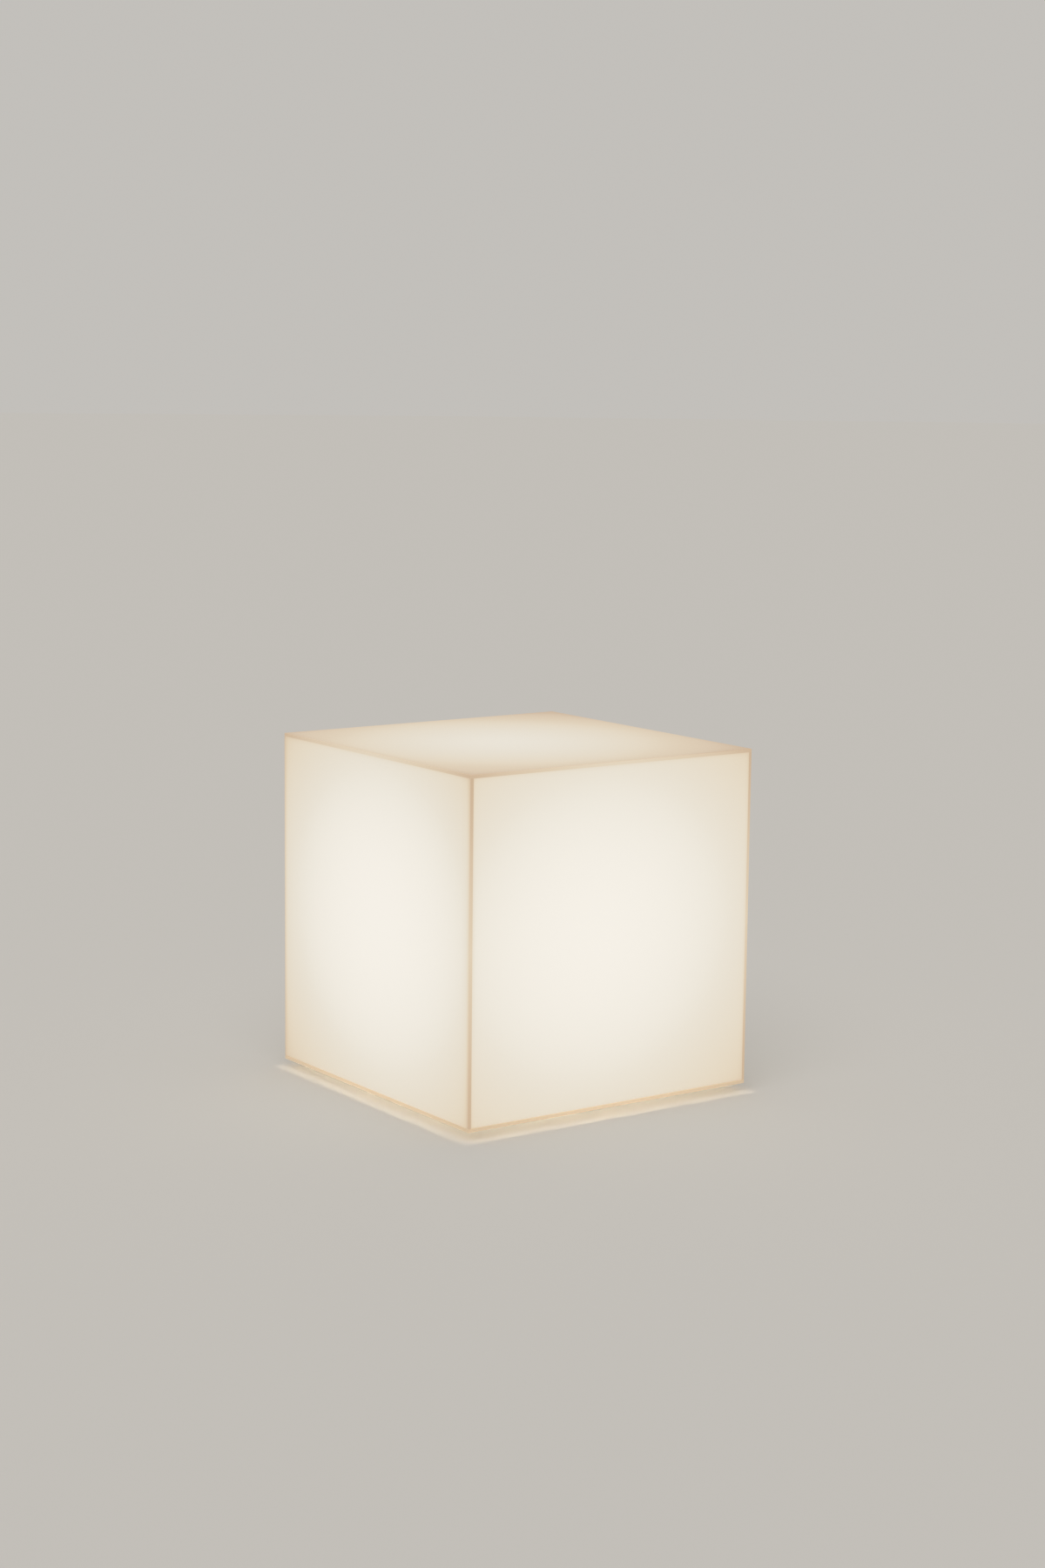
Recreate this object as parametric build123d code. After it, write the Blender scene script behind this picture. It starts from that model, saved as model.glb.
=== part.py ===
from build123d import *

import os
from collections import namedtuple

# A cordless cube light. An opal box of five glued panels stands on a clear base plate, which four inset
# rubber feet hold just above the floor. A round module in the middle of the plate holds the battery and
# the controls. A mast on it carries the lamp, whose frosted globe sits at the middle of the cube.
# The origin is the centre of the footprint, on the floor. +Z is up, -Y is the front and -X is the left side.
# Sizes are in millimetres.

# ---- Shade ----
side = 300.0  # outer length of the box along X and Y, and its height
sheet = 3.0  # thickness of the opal sheet
edge_break = 0.4  # bevel scraped along the outer edges

# ---- Stance ----
floor_gap = 8.0  # height of the base plate's underside, and of the feet
plate_thickness = 3.0
seat_gap = 0.3  # between the plate and the shade's lower edge

# ---- Shade locators: bars on the plate, just inside the walls ----
locator_length = 40.0
locator_width = 6.0
locator_height = 8.0
locator_play = 0.5  # between a bar and the wall beside it
locator_lead = 2.0  # bevel that guides the shade down

# ---- Feet ----
foot_inset = 60.0  # from the plate's edges to the foot's centre
foot_top_radius = 12.0
foot_floor_radius = 10.0
foot_recess_radius = 4.8
foot_recess_depth = 4.4
washer_thickness = 0.8
hole_play = 0.2  # radial, between a screw and a plain hole
thread_play = 0.05  # radial, between a thread and its tapped hole

# ---- Module housing ----
module_room = 4.9  # between the corners of the battery holder's ears and the housing's wall
module_drop = 1.5  # how far the module reaches below the plate
module_play = 0.4  # radial, between the module and the plate's hole
shell = 2.5  # wall of the housing
module_floor = 3.2  # thickness of the housing's floor
flange_width = 13.0
flange_thickness = 3.0
clamp_screw_count = 4
clamp_screw_start = 45.0
clamp_screw_reach = 7.5  # from the housing's wall to the screws that clamp its flange
gasket_thickness = 1.0
gasket_inset = 0.3
cover_rounding = 5.0
cover_screw_count = 4
cover_boss_radius = 4.6
cover_boss_merge = 0.8  # how far a boss runs into the housing's wall
cover_boss_gap = 0.2
cover_thread_depth = 12.0
counterbore_play = 0.4
counterbore_depth = 2.6

# ---- Control board ----
board_length = 64.0
board_thickness = 1.6
board_corner = 3.0
standoff_radius = 3.2
standoff_inset = 5.0
component_gap = 0.4  # between the tallest component and the battery holder
connector_length = 7.5
connector_width = 4.5
connector_height = 4.5
connector_gap = 0.6  # between a connector and the battery holder above it
connector_edge = 0.4  # from a connector to the board's edge
lamp_connector_x = -6.0
charger_side = 5.0
charger_height = 1.0
charger_x = 12.0
chip_y = 4.0
driver_length = 6.0
driver_width = 4.0
driver_height = 1.4
driver_x = -12.0
coil_radius = 4.0
coil_height = 2.6
coil_y = -7.0
capacitor_count = 5
capacitor_length = 2.0
capacitor_width = 1.25
capacitor_height = 1.2
capacitor_pitch = 4.0
capacitor_y = -12.0

# ---- Power button, on the underside ----
button_radius = 7.0
button_play = 0.3
button_lip = 1.5  # how far its collar reaches under the floor, so that it can't fall out
button_collar = 1.0
button_rise = 0.8  # its travel
button_proud = 0.6  # how far it stands out of the underside
button_dish = 0.4  # depth of the hollow in its cap, and the rounding of its edge
button_stem_radius = 2.4
button_stem = 0.5  # between its collar and the plunger
switch_side = 6.0
switch_height = 3.1
plunger_radius = 1.7
plunger_play = 0.1
plunger_reach = 1.1
plunger_insert = 1.4

# ---- Charging socket and its flap ----
socket_x = 20.0
socket_radius = 4.0
socket_bore_radius = 2.85  # takes a plug of 5.5 mm
socket_back = 1.3  # between the bore and the board
socket_play = 0.2
pin_radius = 1.05
pin_setback = 1.0
pin_rounding = 0.5
flap_reach = 16.0  # from the hinge pin to the free end
flap_width = 13.0
flap_thickness = 1.6
flap_corner = 3.0
flap_play = 0.3
hinge_reach = 9.5  # from the socket's axis to the hinge pin
knuckle_radius = 1.0
hinge_pin_radius = 0.5
hinge_pin_hold = 2.0  # how far the pin runs into the housing on each side
hinge_play = 0.05
plug_radius = 2.4
plug_bore_radius = 1.5
plug_depth = 1.8
nail_notch_radius = 4.0

# ---- Charge indicator ----
indicator_x = -15.0
indicator_radius = 1.5
indicator_head_radius = 2.2
indicator_head = 1.0
indicator_play = 0.1
indicator_gap = 0.5

# ---- Battery ----
cell_radius = 9.2
cell_length = 65.0
cell_gap = 0.8
cell_play = 0.2
cell_nub_radius = 3.0
cell_nub = 0.8
strap_thickness = 0.2
strap_width = 7.0
strap_room = 1.8  # between a cell's end and the holder's end wall
holder_wall = 1.5
ear_width = 7.5
ear_thickness = 2.0
ear_x = 24.0
post_radius = 3.2
post_gap = 2.0  # between a post and the board's edge

# ---- Wires ----
lead_radius = 0.7
lead_pitch = 2.6
lead_bend = 3.0
lamp_lead_bend = 1.5
lead_gap = 0.5
lead_bore_play = 0.3
lead_end_gap = 0.2

# ---- Mast ----
mast_radius = 8.0
mast_wall = 2.0
mast_play = 0.1
collar_width = 6.0
collar_height = 7.0
collar_bevel = 2.0
mast_nut_wall = 3.0  # from the thread to the nut's flats
mast_nut_height = 4.0
mast_washer_width = 5.0
mast_nut_room = 0.5
mast_seat = 12.0  # how far the mast goes up into the heat sink

# ---- Lamp ----
globe_radius = 40.0
globe_wall = 1.6
globe_height = 148.0  # of its centre above the plate
neck_radius = 27.0
neck_depth = 8.0
neck_play = 0.4
neck_floor_play = 0.3
rim_wall = 3.6
rim_gap = 0.5  # between the rim and the ball above it
hub_wall = 5.0
hub_height = 8.0
flare_height = 12.0
fin_count = 24
fin_slot = 2.4
fin_root = 2.0  # from the hub to the inner end of a slot
fin_web = 1.8  # solid metal between the fins and the LED board
wire_hole_radius = 4.0
lug_count = 3
lug_angle = 20.0
lug_reach = 1.2
lug_height = 1.6
lug_rise = 0.8  # from the neck's lower end to the lugs
lug_play = 0.35
bayonet_turn = 25.0
bayonet_stop_play = 1.5  # degrees at each end of the groove
led_board_play = 0.8
led_board_thickness = 1.6
led_length = 3.5
led_width = 2.8
led_height = 0.8
inner_ring_radius = 9.5
inner_ring_count = 6  # LEDs in the inner ring
outer_ring_radius = 20.0
outer_ring_count = 12
lamp_screw_circle = 11.5
lamp_screw_count = 3
lamp_screw_start = 30.0
pad_reach = 7.5  # from the axis to the end of a lamp lead
set_screw_length = 4.6

# ---- Screws: shank radius, head radius, head height, width and depth of the cross recess ----
cross_reach = 0.65  # from the middle of a cross recess to its ends, in head radii
Screw = namedtuple("Screw", "shank head head_height cross cross_depth")
m4 = Screw(shank=2.0, head=4.0, head_height=2.6, cross=1.2, cross_depth=1.3)
m3 = Screw(shank=1.5, head=2.8, head_height=2.0, cross=0.9, cross_depth=1.0)
m2_5 = Screw(shank=1.25, head=2.3, head_height=1.5, cross=0.7, cross_depth=0.8)
m4_nut_across = 7.0
m4_nut_height = 3.2
m4_washer_radius = 4.5
m3_nut_across = 5.5
m3_nut_height = 2.4
tail = 1.0  # how far a screw stands out of its nut
board_screw_grip = 4.0
holder_screw_grip = 5.0
lamp_screw_grip = 3.0

# ---- Levels, from the floor up ----
plate_bottom = floor_gap
plate_top = plate_bottom + plate_thickness
shade_bottom = plate_top + seat_gap
shade_top = shade_bottom + side
panel_bottom = shade_top - sheet
underside = plate_bottom - module_drop
inner_floor = underside + module_floor
flange_top = plate_top + flange_thickness
cover_rim = flange_top + gasket_thickness
plunger_tip = inner_floor + button_play + button_collar + button_stem
board_bottom = plunger_tip + plunger_reach + switch_height
board_top = board_bottom + board_thickness
holder_bottom = board_top + coil_height + component_gap
cell_axis = holder_bottom + holder_wall + cell_play + cell_radius
holder_top = cell_axis + cell_radius + cell_play + holder_wall
lead_level = holder_top + lead_gap + lead_radius
mast_bottom = lead_level + lead_radius + lead_gap
mast_nut_bottom = mast_bottom + mast_nut_room
ceiling = mast_nut_bottom + mast_nut_height + washer_thickness
cover_top = ceiling + shell
globe_centre = plate_top + globe_height
neck_join = globe_centre - (globe_radius**2 - neck_radius**2) ** 0.5
neck_bottom = neck_join - neck_depth
led_seat = neck_bottom - neck_floor_play
flare_bottom = led_seat - flare_height
hub_bottom = flare_bottom - hub_height
mast_top = hub_bottom + mast_seat
rim_top = neck_join - rim_gap
led_board_top = led_seat + led_board_thickness

# ---- Places ----
half = side / 2
inside = half - sheet
cell_y = cell_radius + cell_gap / 2
holder_half_length = cell_length / 2 + strap_room + holder_wall
holder_half_width = cell_y + cell_radius + cell_play + holder_wall
connector_y = holder_half_width + connector_gap + connector_width / 2
board_half_width = connector_y + connector_width / 2 + connector_edge
ear_y = board_half_width + post_gap + post_radius
ear_corner = ((ear_x + ear_width / 2) ** 2 + (ear_y + ear_width / 2) ** 2) ** 0.5
inner_radius = ear_corner + module_room
module_radius = inner_radius + shell
clamp_screw_circle = module_radius + clamp_screw_reach
cover_boss_circle = inner_radius - cover_boss_radius + cover_boss_merge
battery_lead_x = (cell_length + strap_room) / 2
battery_lead_level = cell_axis + ear_thickness + lead_gap + lead_radius
rim_inner_radius = neck_radius + neck_play
rim_radius = rim_inner_radius + rim_wall
hub_radius = mast_radius + hub_wall
mast_fit = mast_radius + thread_play
hinge_axis_z = underside + knuckle_radius
foot_at = half - foot_inset
foot_places = [(x, y) for x in (-foot_at, foot_at) for y in (-foot_at, foot_at)]
standoff_x = board_length / 2 - standoff_inset
standoff_y = board_half_width - standoff_inset
standoff_places = [(x, y) for x in (-standoff_x, standoff_x) for y in (-standoff_y, standoff_y)]
ear_places = [(x, y) for x in (-ear_x, ear_x) for y in (-ear_y, ear_y)]
flap_hinge_x = socket_x + hinge_reach
flap_low_x = flap_hinge_x - flap_reach - flap_play
flap_roof = underside + flap_thickness + flap_play
socket_bore_top = board_bottom - socket_back
set_screw_level = hub_bottom + hub_height / 2
on_floor = (Align.CENTER, Align.CENTER, Align.MIN)


def around(radius, count, start=0):
    """Places on a circle, as pairs of x and y."""
    turns = [Vector(radius, 0).rotate(Axis.Z, start + 360 * i / count) for i in range(count)]
    return [(turn.X, turn.Y) for turn in turns]


clamp_screw_places = around(clamp_screw_circle, clamp_screw_count, clamp_screw_start)
cover_screw_places = around(cover_boss_circle, cover_screw_count)
lamp_screw_places = around(lamp_screw_circle, lamp_screw_count, lamp_screw_start)


def disc(radius, low, high, x=0, y=0):
    """An upright cylinder between two levels."""
    return Pos(x, y, low) * Cylinder(radius, high - low, align=on_floor)


def tube(outer, inner, low, high, x=0, y=0):
    """An upright tube between two levels."""
    return disc(outer, low, high, x, y) - disc(inner, low, high, x, y)


def block(x_size, y_size, low, high, x=0, y=0):
    """An upright box between two levels."""
    return Pos(x, y, low) * Box(x_size, y_size, high - low, align=on_floor)


def sector(outer, inner, low, high, start, angle):
    """A stretch of a ring between two levels, from one angle round to another."""
    height = high - low
    pie = Cylinder(outer, height, arc_size=angle, align=(Align.NONE, Align.NONE, Align.MIN))
    return Pos(0, 0, low) * Rot(0, 0, start) * pie - disc(inner, low, high)


def group(pieces):
    """Separate solids kept together as one node."""
    return Compound(children=[solid for piece in pieces for solid in piece.solids()])


def cross_cut(screw, low, high):
    """The cross recess of a screw head."""
    arm = 2 * cross_reach * screw.head
    return block(arm, screw.cross, low, high) + block(screw.cross, arm, low, high)


def hanging_screw(screw, seat, tip, x=0, y=0):
    """A screw with its head on top of a seat and its shank going down to a tip."""
    crown = seat + screw.head_height
    body = disc(screw.head, seat, crown) + disc(screw.shank, tip, seat)
    return Pos(x, y, 0) * (body - cross_cut(screw, crown - screw.cross_depth, crown))


def rising_screw(screw, seat, tip, x=0, y=0):
    """A screw with its head under a seat and its shank going up to a tip."""
    crown = seat - screw.head_height
    body = disc(screw.head, crown, seat) + disc(screw.shank, seat, tip)
    return Pos(x, y, 0) * (body - cross_cut(screw, crown, crown + screw.cross_depth))


def hex_nut(across, bore, low, high, x=0, y=0):
    """A six-sided nut between two levels."""
    outline = Pos(x, y, low) * RegularPolygon(across / 2, 6, major_radius=False)
    return extrude(outline, high - low) - disc(bore, low, high, x, y)


def wire(points, bend):
    """A round lead along straight runs that are joined by arcs."""
    path = FilletPolyline(*points, radius=bend)
    return sweep(Plane(origin=path @ 0, z_dir=path % 0) * Circle(lead_radius), path=path)


# ---------------------------------------------------------------- shade


def top_panel():
    """The top lies over all four walls, so its edge shows all round."""
    panel = block(side, side, panel_bottom, shade_top)
    upper = panel.faces().sort_by(Axis.Z)[-1].edges()
    return chamfer(panel.edges().filter_by(Axis.Z) + upper, edge_break)


def side_wall(sign):
    """A left or right wall: it runs the full depth, and covers the ends of the front and back walls."""
    wall = block(sheet, side, shade_bottom, panel_bottom, x=sign * (half - sheet / 2))
    outer = wall.faces().sort_by(Axis.X)[0 if sign < 0 else -1].edges()
    return chamfer(outer.filter_by(Axis.Z) + outer.sort_by(Axis.Z)[:1], edge_break)


def cross_wall(sign):
    """A front or back wall, between the two side walls."""
    wall = block(2 * inside, sheet, shade_bottom, panel_bottom, y=sign * (half - sheet / 2))
    outer = wall.faces().sort_by(Axis.Y)[0 if sign < 0 else -1].edges()
    return chamfer(outer.sort_by(Axis.Z)[:1], edge_break)


# ---------------------------------------------------------------- base plate and feet


def base_plate():
    """The clear plate, with a hole for the module and smaller ones for its screws and the feet's."""
    plate = block(side, side, plate_bottom, plate_top)
    plate = chamfer(plate.edges(), edge_break)
    plate -= disc(module_radius + module_play, plate_bottom, plate_top)
    for x, y in clamp_screw_places:
        plate -= disc(m3.shank + hole_play, plate_bottom, plate_top, x, y)
    for x, y in foot_places:
        plate -= disc(m4.shank + hole_play, plate_bottom, plate_top, x, y)
    return plate


def shade_locators():
    """Four bars bonded to the plate at the middle of each wall, bevelled where the shade slides down."""
    reach = inside - locator_play - locator_width / 2
    bar = block(locator_width, locator_length, plate_top, plate_top + locator_height, x=reach)
    guide = bar.faces().sort_by(Axis.X)[-1].edges().sort_by(Axis.Z)[-1]
    bar = chamfer(guide, locator_lead)
    return group([Rot(0, 0, 90 * i) * bar for i in range(4)])


def foot(x, y):
    """A tapered rubber foot, with its screw's head in a recess."""
    cone = Cone(foot_floor_radius, foot_top_radius, floor_gap, align=on_floor)
    cone -= disc(m4.shank + hole_play, 0, floor_gap)
    cone -= disc(foot_recess_radius, 0, foot_recess_depth)
    return Pos(x, y, 0) * cone


def foot_hardware():
    """The screws, washers and nuts of the four feet."""
    washer_top = plate_top + washer_thickness
    nut_top = washer_top + m4_nut_height
    screws = [rising_screw(m4, foot_recess_depth, nut_top + tail, x, y) for x, y in foot_places]
    hole = m4.shank + hole_play
    washers = [tube(m4_washer_radius, hole, plate_top, washer_top, x, y) for x, y in foot_places]
    bore = m4.shank + thread_play
    nuts = [hex_nut(m4_nut_across, bore, washer_top, nut_top, x, y) for x, y in foot_places]
    return group(screws), group(washers), group(nuts)


# ---------------------------------------------------------------- module housing


def on_hinge(radius, length):
    """A cylinder along the flap's hinge axis."""
    return Pos(flap_hinge_x, 0, hinge_axis_z) * Rot(90, 0, 0) * Cylinder(radius, length)


def flap_recess():
    """The pocket in the underside that the flap lies in, with a notch for a fingernail."""
    high_x = flap_hinge_x + knuckle_radius + flap_play
    width = flap_width + 2 * flap_play
    pocket = block(high_x - flap_low_x, width, underside, flap_roof, x=(flap_low_x + high_x) / 2)
    barrel = on_hinge(knuckle_radius + flap_play, width)
    notch = disc(nail_notch_radius, underside, underside + flap_thickness / 2, x=flap_low_x)
    return pocket + barrel + notch


def hinge_pin_rod(radius):
    """The flap's hinge pin, or its bore when it is given a larger radius."""
    return on_hinge(radius, flap_width + 2 * (flap_play + hinge_pin_hold))


def module_base():
    """The lower housing: a pan that passes through the plate and hangs in it by its flange."""
    body = disc(module_radius, underside, flange_top)
    body += disc(module_radius + flange_width, plate_top, flange_top)
    body -= disc(inner_radius, inner_floor, flange_top)
    for x, y in cover_screw_places:
        body += disc(cover_boss_radius, inner_floor, flange_top, x, y)
        body -= disc(m3.shank + hole_play, underside, flange_top, x, y)
        body -= disc(m3.head + counterbore_play, underside, underside + counterbore_depth, x, y)
    for x, y in clamp_screw_places:
        body -= disc(m3.shank + hole_play, plate_top, flange_top, x, y)
    for x, y in standoff_places:
        body += disc(standoff_radius, inner_floor, board_bottom, x, y)
        body -= disc(m2_5.shank + thread_play, board_bottom - board_screw_grip - tail, board_bottom, x, y)
    for x, y in ear_places:
        post_top = cell_axis - ear_thickness
        body += disc(post_radius, inner_floor, post_top, x, y)
        body -= disc(m2_5.shank + thread_play, post_top - holder_screw_grip - tail, post_top, x, y)
    body -= disc(button_radius + button_play, underside, inner_floor)
    body -= disc(socket_radius + socket_play, underside, inner_floor, x=socket_x)
    body -= disc(indicator_radius + indicator_play, underside, inner_floor, x=indicator_x)
    return body - flap_recess() - hinge_pin_rod(hinge_pin_radius)


def module_cover():
    """The upper housing: a round cap with four bosses for its screws and a hole for the mast."""
    outer = disc(module_radius, cover_rim, cover_top)
    outer = fillet(outer.faces().sort_by(Axis.Z)[-1].edges(), cover_rounding)
    cavity = disc(inner_radius, cover_rim, ceiling)
    cavity = fillet(cavity.faces().sort_by(Axis.Z)[-1].edges(), cover_rounding - shell)
    body = outer - cavity
    boss_bottom = flange_top + cover_boss_gap
    bounds = disc(inner_radius, boss_bottom, ceiling)
    for x, y in cover_screw_places:
        body += disc(cover_boss_radius, boss_bottom, ceiling, x, y) & bounds
        body -= disc(m3.shank + thread_play, boss_bottom, boss_bottom + cover_thread_depth + tail, x, y)
    return body - disc(mast_radius + mast_play, ceiling, cover_top)


def cover_gasket():
    """A flat ring between the cover's rim and the flange."""
    return tube(module_radius - gasket_inset, inner_radius + gasket_inset, flange_top, cover_rim)


def cover_screws():
    """Four screws from below, through the pan's bosses into the cover's."""
    seat = underside + counterbore_depth
    tip = flange_top + cover_thread_depth
    return group([rising_screw(m3, seat, tip, x, y) for x, y in cover_screw_places])


def module_hardware():
    """The screws that clamp the flange to the plate, and their nuts below it."""
    nut_bottom = plate_bottom - m3_nut_height
    screws = [hanging_screw(m3, flange_top, nut_bottom - tail, x, y) for x, y in clamp_screw_places]
    bore = m3.shank + thread_play
    nuts = [hex_nut(m3_nut_across, bore, nut_bottom, plate_bottom, x, y) for x, y in clamp_screw_places]
    return group(screws), group(nuts)


# ---------------------------------------------------------------- control board


def control_board():
    """The board, screwed to its standoffs."""
    board = block(board_length, 2 * board_half_width, board_bottom, board_top)
    board = fillet(board.edges().filter_by(Axis.Z), board_corner)
    for x, y in standoff_places:
        board -= disc(m2_5.shank + hole_play, board_bottom, board_top, x, y)
    return board


def board_screws():
    """Four screws through the board into its standoffs."""
    tip = board_bottom - board_screw_grip
    return group([hanging_screw(m2_5, board_top, tip, x, y) for x, y in standoff_places])


def board_components():
    """The charger chip, the driver chip, its coil and a row of capacitors, on top of the board."""
    low = board_top
    charger = block(charger_side, charger_side, low, low + charger_height, charger_x, chip_y)
    driver = block(driver_length, driver_width, low, low + driver_height, driver_x, chip_y)
    coil = disc(coil_radius, low, low + coil_height, driver_x, coil_y)
    capacitor = block(capacitor_length, capacitor_width, low, low + capacitor_height, y=capacitor_y)
    capacitors = [Pos(i * capacitor_pitch, 0, 0) * capacitor for i in range(capacitor_count)]
    return group([charger, driver, coil, *capacitors])


def board_connectors():
    """The plugs of the lamp's leads and of the battery's, at the two long edges of the board."""
    top = board_top + connector_height
    lamp = block(connector_length, connector_width, board_top, top, lamp_connector_x, connector_y)
    battery = block(connector_length, connector_width, board_top, top, 0, -connector_y)
    return group([lamp, battery])


# ---------------------------------------------------------------- power button


def power_switch():
    """The push switch under the board, with the bore that its plunger runs in."""
    low = board_bottom - switch_height
    bore_top = low + plunger_insert + button_rise + plunger_play
    body = block(switch_side, switch_side, low, board_bottom)
    return body - disc(plunger_radius + plunger_play, low, bore_top)


def switch_plunger():
    """The plunger, which the button's stem pushes up."""
    return disc(plunger_radius, plunger_tip, board_bottom - switch_height + plunger_insert)


def power_button():
    """The button's cap, its collar above the housing's floor, and its stem."""
    collar_low = inner_floor + button_play
    collar_top = collar_low + button_collar
    low = underside - button_proud
    body = disc(button_radius, low, collar_top)
    body += disc(button_radius + button_lip, collar_low, collar_top)
    body += disc(button_stem_radius, collar_top, plunger_tip)
    body = fillet(body.faces().sort_by(Axis.Z)[0].edges(), button_dish)
    dish_radius = (button_radius**2 + button_dish**2) / (2 * button_dish)
    return body - Pos(0, 0, low + button_dish - dish_radius) * Sphere(dish_radius)


# ---------------------------------------------------------------- charging socket, flap and indicator


def charge_socket():
    """A round socket that looks down through the housing's floor."""
    body = disc(socket_radius, flap_roof, board_bottom, x=socket_x)
    return body - disc(socket_bore_radius, flap_roof, socket_bore_top, x=socket_x)


def charge_pin():
    """The socket's centre pin."""
    body = disc(pin_radius, flap_roof + pin_setback, socket_bore_top, x=socket_x)
    return fillet(body.faces().sort_by(Axis.Z)[0].edges(), pin_rounding)


def port_flap():
    """The socket's cover: a plate that turns on a knuckle, flush with the underside."""
    middle = flap_hinge_x - flap_reach / 2
    plate = block(flap_reach, flap_width, underside, underside + flap_thickness, middle)
    corners = plate.edges().filter_by(Axis.Z).sort_by(Axis.X)[:2]
    plate = fillet(corners, flap_corner)
    knuckle = on_hinge(knuckle_radius, flap_width)
    return plate + knuckle - hinge_pin_rod(hinge_pin_radius + hinge_play)


def port_plug():
    """The rubber ring on the flap that closes the socket."""
    low = underside + flap_thickness
    return tube(plug_radius, plug_bore_radius, low, flap_roof + plug_depth, x=socket_x)


def indicator_lens():
    """A light pipe from the board to the underside."""
    top = board_bottom - indicator_gap
    pipe = disc(indicator_radius, underside, top, x=indicator_x)
    return pipe + disc(indicator_head_radius, inner_floor, inner_floor + indicator_head, x=indicator_x)


# ---------------------------------------------------------------- battery


def lying(radius, length, y=0):
    """A cylinder along X at the height of the cells."""
    return Pos(0, y, cell_axis) * Rot(0, 90, 0) * Cylinder(radius, length)


def battery_cells():
    """Two cells side by side, the one turned end for end from the other."""
    cells = []
    can_length = cell_length - cell_nub
    for sign in (-1, 1):
        nub = Pos(sign * can_length / 2, 0, 0) * lying(cell_nub_radius, cell_nub, sign * cell_y)
        can = Pos(-sign * cell_nub / 2, 0, 0) * lying(cell_radius, can_length, sign * cell_y)
        cells.append(can + nub)
    return group(cells)


def battery_straps():
    """The metal strips that join the cells at their ends."""
    x = (cell_length + strap_thickness) / 2
    length = 2 * cell_y + strap_width
    low = cell_axis - strap_width / 2
    high = cell_axis + strap_width / 2
    return group([block(strap_thickness, length, low, high, sign * x) for sign in (-1, 1)])


def holder_half(low, high, ear_low):
    """One half of the battery holder, parted at the cells' axis, with four ears."""
    body = block(2 * holder_half_length, 2 * holder_half_width, low, high)
    ear_high = ear_low + ear_thickness
    for x in (-ear_x, ear_x):
        body += block(ear_width, 2 * ear_y + ear_width, ear_low, ear_high, x)
    for x, y in ear_places:
        body -= disc(m2_5.shank + hole_play, ear_low, ear_high, x, y)
    for sign in (-1, 1):
        body -= lying(cell_radius + cell_play, cell_length + 2 * strap_room, sign * cell_y)
    slot = block(cell_length + 2 * strap_room, 2 * cell_y, cell_axis - strap_width, cell_axis + strap_width)
    return body - slot


def lower_holder():
    """The half that stands on the posts."""
    return holder_half(holder_bottom, cell_axis, cell_axis - ear_thickness)


def upper_holder():
    """The half that closes over the cells, with a hole at each end for a lead."""
    body = holder_half(cell_axis, holder_top, cell_axis)
    for sign in (-1, 1):
        hole = Rot(90, 0, 0) * Cylinder(lead_radius + lead_bore_play, 2 * cell_radius)
        body -= Pos(sign * battery_lead_x, -holder_half_width, battery_lead_level) * hole
    return body


def holder_screws():
    """Four screws through both halves' ears into the posts."""
    seat = cell_axis + ear_thickness
    tip = cell_axis - ear_thickness - holder_screw_grip
    return group([hanging_screw(m2_5, seat, tip, x, y) for x, y in ear_places])


def battery_lead(sign):
    """From the end of a strap, out through the holder's side, along it and down to the connector."""
    start = (sign * battery_lead_x, -cell_y - strap_width / 2 - lead_end_gap, battery_lead_level)
    turn = (sign * battery_lead_x, -connector_y, battery_lead_level)
    over = (sign * lead_pitch / 2, -connector_y, battery_lead_level)
    plug = (sign * lead_pitch / 2, -connector_y, board_top + connector_height)
    return wire((start, turn, over, plug), lead_bend)


# ---------------------------------------------------------------- mast


def mast_tube():
    """The tube that carries the lamp and guides its leads."""
    return tube(mast_radius, mast_radius - mast_wall, mast_bottom, mast_top)


def mast_collar():
    """A bevelled ring round the mast, on top of the cover."""
    body = disc(mast_radius + collar_width, cover_top, cover_top + collar_height)
    body = chamfer(body.faces().sort_by(Axis.Z)[-1].edges(), collar_bevel)
    return body - disc(mast_fit, cover_top, cover_top + collar_height)


def mast_nut():
    """The nut that clamps the mast from inside the cover."""
    across = 2 * (mast_radius + mast_nut_wall)
    return hex_nut(across, mast_fit, mast_nut_bottom, mast_nut_bottom + mast_nut_height)


def mast_washer():
    """The washer between that nut and the cover."""
    return tube(mast_radius + mast_washer_width, mast_fit, ceiling - washer_thickness, ceiling)


# ---------------------------------------------------------------- lamp


def heat_sink():
    """The finned foot of the lamp: a hub on the mast, a flare cut into fins, and the globe's socket."""
    body = disc(hub_radius, hub_bottom, led_seat)
    flare = Pos(0, 0, flare_bottom) * Cone(hub_radius, rim_radius, flare_height, align=on_floor)
    for i in range(fin_count):
        middle = hub_radius + fin_root + rim_radius / 2
        slot = block(rim_radius, fin_slot, flare_bottom, led_seat - fin_web, x=middle)
        flare -= Rot(0, 0, 360 * i / fin_count) * slot
    body += flare + disc(rim_radius, led_seat, rim_top)
    body -= disc(rim_inner_radius, led_seat, rim_top)
    body -= disc(mast_fit, hub_bottom, mast_top)
    body -= disc(wire_hole_radius, mast_top, led_seat)
    for x, y in lamp_screw_places:
        body -= disc(m2_5.shank + thread_play, led_seat - lamp_screw_grip - tail, led_seat, x, y)
    for i in range(lug_count):
        body -= bayonet_slot(360 * i / lug_count)
    return body - set_screw_bore(m4.shank + thread_play, hub_radius)


def bayonet_slot(start):
    """The way of one lug: down from the rim, then round under it."""
    outer = rim_inner_radius + lug_reach
    low = neck_bottom + lug_rise - lug_play
    high = neck_bottom + lug_rise + lug_height + lug_play
    travel = lug_angle + bayonet_turn + 2 * bayonet_stop_play
    groove = sector(outer, neck_radius, low, high, start - bayonet_stop_play, travel)
    entry_start = start + bayonet_turn - bayonet_stop_play
    entry = sector(outer, neck_radius, low, rim_top, entry_start, lug_angle + 2 * bayonet_stop_play)
    return groove + entry


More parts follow.
